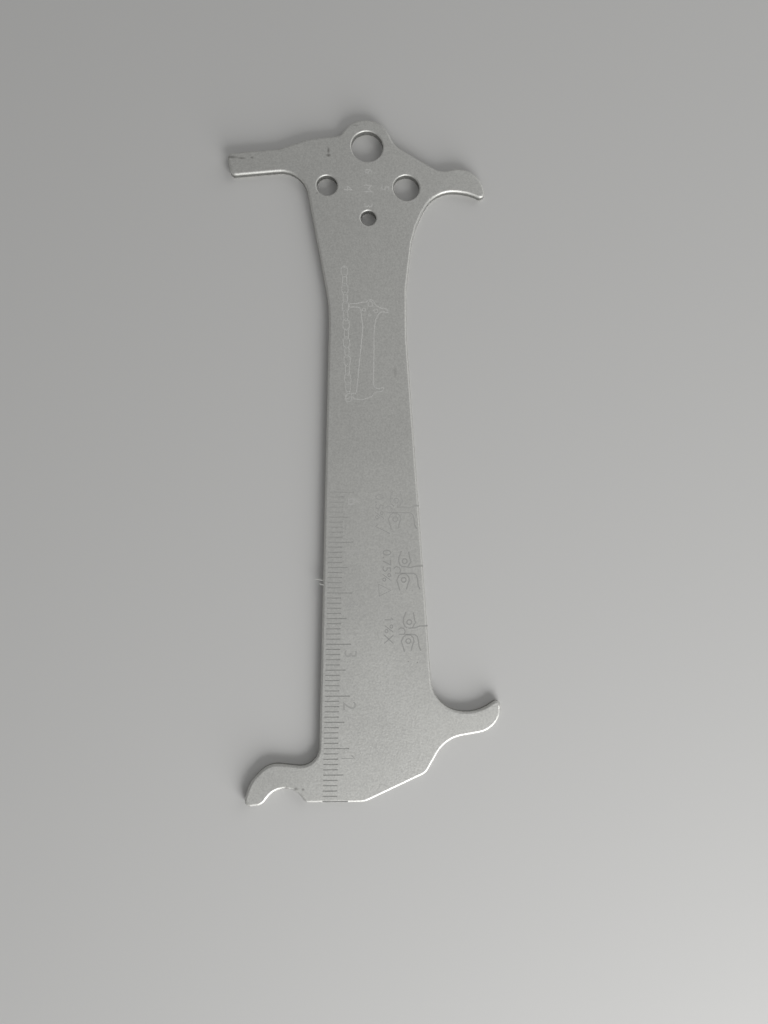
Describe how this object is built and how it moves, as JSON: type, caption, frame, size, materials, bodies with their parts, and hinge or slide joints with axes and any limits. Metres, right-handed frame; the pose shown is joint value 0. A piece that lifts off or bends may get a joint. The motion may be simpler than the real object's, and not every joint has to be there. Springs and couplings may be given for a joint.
{
  "type": "chain wear gauge",
  "caption": "Flat metal plate gauge for chain wear, with a blade, hooks and a claw on its outline, screw gauge holes and an engraved ruler.",
  "frame": {"origin": "centre of the outline's box, on the flat underside", "axes": "+Y along the plate from the ruler's zero towards the largest hole, +X towards the two hooks, +Z out of the engraved face"},
  "size_m": [0.056, 0.1388, 0.0018],
  "materials": {
    "plate": "fine sandblasted and clear anodised, with rounded edges"
  },
  "bodies": {
    "root": {"gauge_plate": "plate"}
  },
  "joints": []
}
